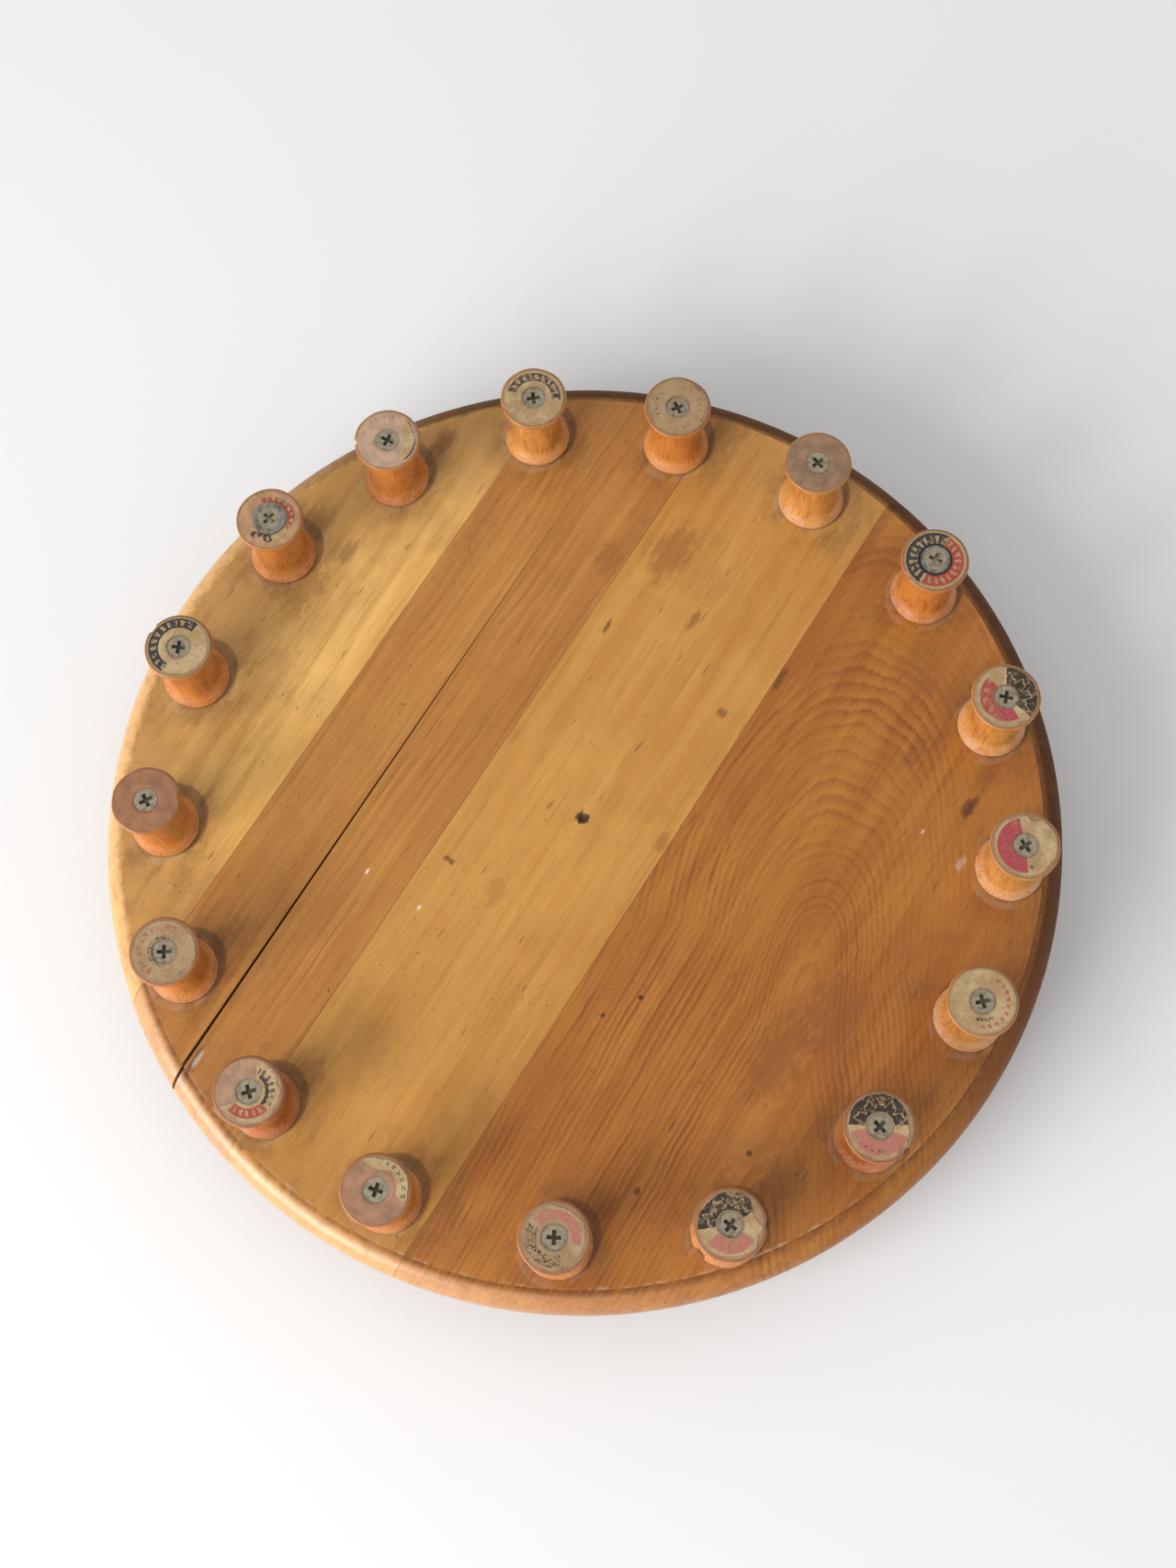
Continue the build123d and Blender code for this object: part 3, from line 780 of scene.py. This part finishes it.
def label_mesh(name, number, hole):
    """A thin ring of paper with a ragged outline, or the part of one that is left."""
    first, last, inner_share, outer_share, rough = PAPER_LEFT[number]
    whole = (last - first) % 12 == 0
    span = 12 if whole else (last - first) % 12
    rng = random.Random(100 + number)
    outer_edge, inner_edge = edge_noise(rng, rough), edge_noise(rng, 0.06)
    mesh = bmesh.new()
    layers = []
    steps = LABEL_STEPS if whole else int(LABEL_STEPS * span / 12)
    for k in range(steps if whole else steps + 1):
        hour = first + span * k / steps
        angle = clock(hour)
        outer = LABEL * (outer_share + outer_edge(angle) - 0.5 * rough)
        for centre, width, depth in TEARS.get(number, []):
            outer -= LABEL * depth * max(0.0, 1 - (hours_apart(hour, centre) / width) ** 2)
        inner = hole
        if inner_share:
            inner = max(hole, LABEL * (inner_share + inner_edge(angle)))
        if not whole:
            taper = min(1.0, min(k, steps - k) / 9)
            inner = outer - (outer - inner) * (0.12 + 0.88 * taper ** 0.6)
        outer = min(outer, LABEL)
        column = []
        for j in range(LABEL_RINGS):
            r = inner + (outer - inner) * j / (LABEL_RINGS - 1)
            curl = 0.10 * MM * (j / (LABEL_RINGS - 1)) ** 6 * max(0.0, math.sin(3 * angle + number))
            lift = 0.02 * MM * math.sin(7 * angle + 400 * r) + curl
            x, y = r * math.cos(angle), r * math.sin(angle)
            column.append((mesh.verts.new((x, y, 0.01 * MM)), mesh.verts.new((x, y, PAPER + max(0.0, lift)))))
        layers.append(column)
    pairs = zip(layers, layers[1:] + layers[:1]) if whole else zip(layers, layers[1:])
    for here, there in pairs:
        for j in range(LABEL_RINGS - 1):
            mesh.faces.new((here[j][1], here[j + 1][1], there[j + 1][1], there[j][1]))
            mesh.faces.new((here[j][0], there[j][0], there[j + 1][0], here[j + 1][0]))
        mesh.faces.new((here[0][0], here[0][1], there[0][1], there[0][0]))
        mesh.faces.new((here[-1][0], there[-1][0], there[-1][1], here[-1][1]))
    if not whole:
        for column in (layers[0], layers[-1]):
            for j in range(LABEL_RINGS - 1):
                mesh.faces.new((column[j][0], column[j + 1][0], column[j + 1][1], column[j][1]))
    return finished_mesh(name, mesh)


# %% [markdown]
# ## Printing
# The print is plain bands, arcs and waves. No real label is copied and nothing can be
# read: where lettering would be, short strokes of bare paper are cut into a band by
# noise that runs round the dial. Two numbers describe every point of a label, its
# radius as a share of the label and its hour on the dial, and each printed shape is a
# product of soft steps in those two.

# %% Print shapes
INK_EDGE = 0.012


def dial(f, x, y):
    """Radius as a share of the label, and the hour from 0 to 12."""
    radius = (x * x + y * y).root() / LABEL
    angle = f.node("ShaderNodeMath", {"operation": "ARCTAN2"}, {0: y, 1: x})
    hour = ((clock(0) - angle) * (6 / math.pi)) % 12
    return radius, hour


def band(f, radius, hour, inner, outer, first, last, fray):
    """A printed arc from one hour to another, with edges eaten by the fray signal."""
    frayed = radius + fray
    inside = f.step(frayed, inner - INK_EDGE, inner + INK_EDGE)
    across = inside * (1 - f.step(frayed, outer - INK_EDGE, outer + INK_EDGE))
    span = (last - first) % 12 or 12
    if span == 12:
        return across
    passed = (hour - first + fray * 6) % 12
    return across * (passed < span)


def strokes(f, radius, hour, inner, outer, pitch, seed):
    """Short unreadable strokes round a band, in place of lettering."""
    mid, half = (inner + outer) / 2, (outer - inner) * 0.30
    inside = 1 - f.step(abs(radius - mid), half * 0.8, half * 1.1)
    wobble = f.noise(f.vector(hour * pitch, radius * 9.0, seed * 3.1), 1.0, 2.0, 0.8)
    slant = (hour * pitch * 2.1 + radius * 4).sine() * 0.12
    return inside * f.step(wobble + slant, 0.50, 0.56)


def scribble(f, radius, hour, level, swing, count, width, seed):
    """A flowing line that waves round the dial."""
    line = level + (hour * count + seed).sine() * swing + (hour * count * 2.3 + 1.7).sine() * swing * 0.5
    return 1 - f.step(abs(radius - line), width * 0.5, width)


# %% [markdown]
# Each design is a short list of bands: ink, inner and outer radius, the hours it
# covers, and what is cut out of it. `wear` rubs the ink away in patches and lets the
# paper or the wood stain through.

# %% Label designs
CREAM = (0.475, 0.345, 0.185)
OLD = (0.400, 0.280, 0.155)
NAVY = (0.014, 0.015, 0.026)
RED = (0.33, 0.045, 0.036)
ROSE = (0.35, 0.042, 0.060)
BLACK = (0.010, 0.009, 0.010)
SALMON = (0.40, 0.125, 0.100)
DESIGNS = {
    1: (CREAM, 0.42, [(NAVY, 0.60, 0.88, 9.7, 3.4, "strokes"), (OLD, 0.68, 0.80, 6.2, 8.8, "ink strokes")]),
    2: (OLD, 0.55, [(RED, 0.60, 0.84, 0.6, 6.6, "ink strokes"), (NAVY, 0.58, 0.80, 8.4, 10.8, "ink strokes"),
                    (NAVY, 0.90, 0.93, 1.4, 4.4, "plain")]),
    4: (CREAM, 0.10, [(NAVY, 0.46, 0.93, 7.4, 1.2, "strokes"), (RED, 0.52, 0.90, 1.3, 7.3, "strokes"),
                      (NAVY, 0.44, 0.54, 0, 12, "plain")]),
    5: (CREAM, 0.34, [(BLACK, 0.36, 0.97, 0.3, 4.6, "scribble"), (RED, 0.40, 0.82, 7.6, 10.9, "ink blot"),
                      (ROSE, 0.38, 0.80, 5.3, 7.6, "plain")]),
    6: (CREAM, 0.24, [(ROSE, 0.10, 0.86, 6.1, 11.9, "plain"), (NAVY, 0.60, 0.80, 5.4, 6.0, "ink strokes")]),
    7: (CREAM, 0.30, [(RED, 0.66, 0.88, 1.2, 6.6, "ink strokes"), (OLD, 0.60, 0.86, 8.6, 11.4, "ink strokes"),
                      (NAVY, 0.50, 0.62, 5.2, 7.0, "blot")]),
    8: (CREAM, 0.34, [(BLACK, 0.42, 0.95, 9.3, 3.1, "scribble"), (SALMON, 0.38, 0.86, 3.9, 8.9, "plain"),
                      (NAVY, 0.66, 0.80, 5.4, 8.4, "ink strokes")]),
    9: (CREAM, 0.38, [(BLACK, 0.42, 0.95, 8.9, 2.2, "scribble"), (SALMON, 0.42, 0.82, 4.2, 8.0, "plain"),
                      (ROSE, 0.50, 0.78, 5.4, 6.8, "ink strokes")]),
    10: (OLD, 0.40, [(SALMON, 0.52, 0.80, 10.6, 3.8, "plain"), (BLACK, 0.52, 0.86, 5.6, 10.2, "blot")]),
    11: (CREAM, 0.24, [(NAVY, 0.72, 0.92, 0.9, 4.0, "ink strokes")]),
    12: (CREAM, 0.24, [(NAVY, 0.50, 0.86, 1.0, 4.5, "ink strokes"), (NAVY, 0.50, 0.60, 1.4, 4.6, "plain"),
                       (RED, 0.50, 0.80, 4.6, 7.8, "strokes")]),
    13: (OLD, 0.45, [(RED, 0.62, 0.88, 7.2, 1.0, "ink strokes"), (OLD, 0.62, 0.84, 1.6, 4.2, "ink strokes"),
                     (BLACK, 0.30, 0.50, 6.0, 1.0, "blot")]),
    15: (CREAM, 0.08, [(NAVY, 0.64, 0.95, 7.2, 1.5, "strokes"), (NAVY, 0.93, 0.95, 1.6, 7.1, "plain"),
                       (OLD, 0.70, 0.84, 2.6, 6.2, "ink strokes")]),
    16: (CREAM, 0.15, [(RED, 0.60, 0.82, 11.1, 4.2, "strokes"), (NAVY, 0.50, 0.84, 5.9, 11.1, "strokes")]),
    17: (CREAM, 0.10, [(NAVY, 0.88, 0.93, 1.8, 5.0, "plain")]),
}


def cut_band(f, kind, shape, radius, hour, inner, outer, number, fray):
    """What a band prints once its strokes, blots or flowing line are cut into it."""
    if kind == "strokes":
        return shape * (1 - strokes(f, radius, hour, inner, outer, 5.2, number) * 0.85)
    if kind == "ink strokes":
        return shape * strokes(f, radius, hour, inner, outer, 5.6, number + 0.5) * 0.80
    if kind == "blot":
        return shape * f.step(fray, -0.010, 0.012)
    if kind == "ink blot":
        return shape * (1 - strokes(f, radius, hour, inner + 0.1, outer, 3.0, number) * 0.45)
    if kind == "scribble":
        level = (inner + outer) / 2
        return shape * (1 - scribble(f, radius, hour, level, 0.10, 5.0, 0.035, number) * 0.80)
    return shape


# %% Label finish
def label_finish(name, number):
    paper, wear, bands = DESIGNS[number]
    f = Finish(name + "_print")
    place = f.place()
    x, y, z = f.split(place)
    shift = f.vector(x + number * 0.17, y + number * 0.31, z)
    radius, hour = dial(f, x, y)
    fray = (f.noise(shift, 1500.0, 3.0, 0.6) - 0.5) * 0.10

    # Aged paper: yellowed in clouds, foxed with brown spots, grey where it was handled.
    cloud = f.noise(shift, 150.0, 5.0, 0.6)
    fibre = f.noise(shift, 2600.0, 3.0, 0.7)
    tone = f.mix(f.step(cloud, 0.36, 0.66), tuple(c * s for c, s in zip(paper, (0.74, 0.66, 0.56))), paper)
    foxing = f.step(f.noise(shift, 420.0, 3.0, 0.6), 0.60, 0.72)
    tone = f.mix(foxing * 0.52, tone, (0.24, 0.13, 0.060))

    smut = f.step(f.noise(shift, 820.0, 4.0, 0.75), 0.50, 0.72)
    tone = f.mix(smut * 0.44, tone, (0.140, 0.088, 0.046))

    # The printed bands.
    for ink, inner, outer, first, last, kind in bands:
        shape = band(f, radius, hour, inner, outer, first, last, fray * 0.35)
        tone = f.mix(cut_band(f, kind, shape, radius, hour, inner, outer, number, fray) * 0.94, tone, ink)

    # Rubbed patches show fibres, and the rim is soiled.
    rubbed = f.step(f.noise(shift, 420.0, 6.0, 0.78), 0.62 - wear * 0.34, 0.72 - wear * 0.34)
    tone = f.mix(rubbed * (0.35 + wear * 0.9), tone, tuple(c * s for c, s in zip(OLD, (0.86, 0.80, 0.74))))
    soiled = f.step(radius, 0.88, 1.0) * f.step(cloud, 0.42, 0.60)
    tone = f.mix(soiled * 0.6, tone, (0.20, 0.115, 0.060))
    rusty = 1 - f.step(radius, 0.37, 0.46)
    tone = f.mix(rusty * 0.55, tone, (0.13, 0.085, 0.050))
    roughness = fibre * 0.20 + 0.46 + rubbed * 0.18
    bump = f.bump(fibre * 0.3 + cloud * 0.4 - rubbed * 0.6, 0.00008, 0.5)
    return f.surface(tone, roughness, bump, Specular_IOR_Level=0.30)


# %% Make the labels
label_count = 0
for name in SPOOLS:
    number = number_of(name)
    if number not in DESIGNS:
        continue
    node = f"label_{number:02d}"
    hole = WASHERS.get(name, HEAD + 0.10 * MM)
    data = label_mesh(node + "_paper", number, hole)
    data.materials.append(label_finish(node, number))
    piece = smooth_object(node + "_paper", data, 50)
    piece.location = spool_places[name] + Vector((0, 0, spool_height))
    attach(piece, "turntable")
    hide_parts(node)
    label_count += 1
print("labels made:", label_count)

# %% [markdown]
# ## Metals
# The screws were plated steel once. Decades of damp have turned the plating dull and
# brassy grey, with dark dirt packed into each cross. The bearing under the board has
# lived in the dark and is brighter. One function makes all of them from a clean and a
# tarnished tone and a shine, and `dirt_below` darkens whatever lies deeper than a given
# height, which is how the crosses get their dirt.

# %% Metal finish
def metal_finish(name, clean, tarnished, shine, dirt_below=None):
    f = Finish(name)
    place = f.place()
    x, y, z = f.split(place)
    cloud = f.noise(place, 420.0, 4.0, 0.62)
    speckle = f.noise(place, 2400.0, 3.0, 0.65)
    spots = f.step(cloud * 0.7 + speckle * 0.3, 0.42, 0.62)
    tone = f.mix(spots, clean, tarnished)
    pits = f.step(speckle, 0.60, 0.72)
    tone = f.mix(pits * 0.5, tone, tuple(c * 0.35 for c in tarnished))
    metal = 0.92 - spots * 0.35 - pits * 0.3
    roughness = shine + spots * 0.22 + pits * 0.15
    if dirt_below is not None:
        packed = 1 - f.step(z, dirt_below - 0.0005, dirt_below)
        tone = f.mix(packed * 0.66, tone, (0.036, 0.027, 0.018))
        roughness = roughness + packed * 0.3
        metal = metal * (1 - packed * 0.9)
    bump = f.bump(speckle * 0.5 + cloud * 0.5, 0.00012, 0.4)
    material = f.surface(tone, roughness, bump)
    f.link(f.shader.inputs["Metallic"], metal)
    return material


CROSS_DEPTH = 1.15 * MM
BRASSY, TARNISH = (0.44, 0.385, 0.275), (0.215, 0.175, 0.115)
DULL, DARK = (0.34, 0.31, 0.26), (0.14, 0.115, 0.085)
ZINC, GREY_ZINC = (0.66, 0.67, 0.68), (0.42, 0.43, 0.44)
STEEL, GREY_STEEL = (0.78, 0.78, 0.80), (0.60, 0.60, 0.61)
METALS = {
    "spool_screws": (BRASSY, TARNISH, 0.40, spool_top - CROSS_DEPTH),
    "cup_washers": (DULL, DARK, 0.42),
    "upper_bearing_plate": (ZINC, GREY_ZINC, 0.28),
    "lower_bearing_plate": (ZINC, GREY_ZINC, 0.28),
    "ball_cage": (ZINC, GREY_ZINC, 0.28),
    "upper_bearing_screws": (ZINC, GREY_ZINC, 0.30),
    "lower_bearing_screws": (ZINC, GREY_ZINC, 0.30),
    "bearing_balls": (STEEL, GREY_STEEL, 0.12),
}
for node, look in METALS.items():
    dress(node, metal_finish(node + "_metal", *look))
print("metal nodes dressed:", len(METALS))

# %% [markdown]
# ## Base and feet
# The base is a plain disc of cheaper wood with one thin coat, so it gets simple
# straight grain and a drier surface. The feet are pressed felt: no shine at all, and a
# short tangled nap that only a fine bump can suggest at this size.

# %% Base and felt
def base_finish():
    f = Finish("base_varnish")
    place = f.place()
    x, y, z = f.split(place)
    streak = f.noise(f.scaled(place, (0.05, 1.0, 1.0)), 160.0, 3.0, 0.6)
    bend = f.noise(place, 14.0, 2.0, 0.5) - 0.5
    ring = ((y + bend * 0.02 + z * 0.4) * (2 * math.pi / 0.0065)).sine() * 0.5 + 0.5
    pores = f.noise(f.scaled(place, (0.05, 1.0, 1.0)), 1400.0, 2.0, 0.6)
    tone = f.mix(f.step(streak, 0.35, 0.65), (0.36, 0.175, 0.060), (0.50, 0.275, 0.105))
    tone = f.mix(ring * ring * 0.35, tone, (0.30, 0.125, 0.036))
    tone = f.mix(f.step(pores, 0.56, 0.70) * 0.3, tone, (0.12, 0.05, 0.018))
    dirt = f.step(f.noise(place, 60.0, 5.0, 0.65), 0.50, 0.70)
    tone = f.mix(dirt * 0.35, tone, (0.13, 0.065, 0.030))
    bump = f.bump(pores * 0.6 + ring * 0.3, 0.00015, 0.4)
    return f.surface(tone, streak * 0.15 + 0.48 + dirt * 0.15, bump)


def felt_finish():
    f = Finish("pressed_felt")
    place = f.place()
    nap = f.noise(place, 2200.0, 4.0, 0.7, 1.2)
    fluff = f.noise(place, 500.0, 3.0, 0.6)
    tone = f.mix(f.step(nap, 0.35, 0.65), (0.045, 0.038, 0.032), (0.115, 0.098, 0.082))
    tone = f.mix(f.step(fluff, 0.55, 0.70) * 0.4, tone, (0.20, 0.18, 0.16))
    return f.surface(tone, nap * 0.1 + 0.85, f.bump(nap, 0.0004, 0.8))


dress("base_disc", base_finish())
felt = felt_finish()
for index in range(1, 5):
    dress(f"felt_foot_{index}", felt)

# %% [markdown]
# ## Room and light
# The swift lies on a plain white sweep. One large soft window stands low on the
# viewer's left and a little nearer than the board, so every spool throws a long soft
# shadow away to the right, and the rest of the room fills the shadows. The window is
# close enough for the floor to fall off in brightness from left to right.

# %% Floor
REACH = 60.0
LEVEL = -0.1 * MM
corners = [(x * REACH, y * REACH, LEVEL) for x, y in ((-1, -1), (1, -1), (1, 1), (-1, 1))]
floor_mesh = bpy.data.meshes.new("sweep")
floor_mesh.from_pydata(corners, [], [(0, 1, 2, 3)])
floor = bpy.data.objects.new("sweep", floor_mesh)
bpy.context.scene.collection.objects.link(floor)
paint = Finish("white_sweep")
mottle = paint.noise(paint.place(), 3.0, 2.0, 0.5)
white = paint.mix(mottle, (0.765, 0.765, 0.765), (0.790, 0.790, 0.790))
floor_mesh.materials.append(paint.surface(white, mottle * 0.1 + 0.55))


# %% Lights
def soft_light(name, right, away, up, width, height, power):
    """An area light at a place in the viewer's frame, aimed at the board."""
    data = bpy.data.lights.new(name, "AREA")
    data.shape = "RECTANGLE"
    data.size, data.size_y = width, height
    data.energy = power
    lamp = bpy.data.objects.new(name, data)
    lamp.location = seen(right, away, up)
    aim = seen(0, 0, board_top) - lamp.location
    lamp.rotation_mode = "QUATERNION"
    lamp.rotation_quaternion = aim.to_track_quat("-Z", "Y")
    bpy.context.scene.collection.objects.link(lamp)


soft_light("window", right=-1.75, away=-1.10, up=1.10, width=1.6, height=1.25, power=63.0)
world = bpy.data.worlds.new("room")
world.use_nodes = True
background = world.node_tree.nodes["Background"]
background.inputs["Color"].default_value = (0.985, 0.985, 0.99, 1)
background.inputs["Strength"].default_value = 0.69
bpy.context.scene.world = world
bpy.context.scene.view_settings.view_transform = "Standard"
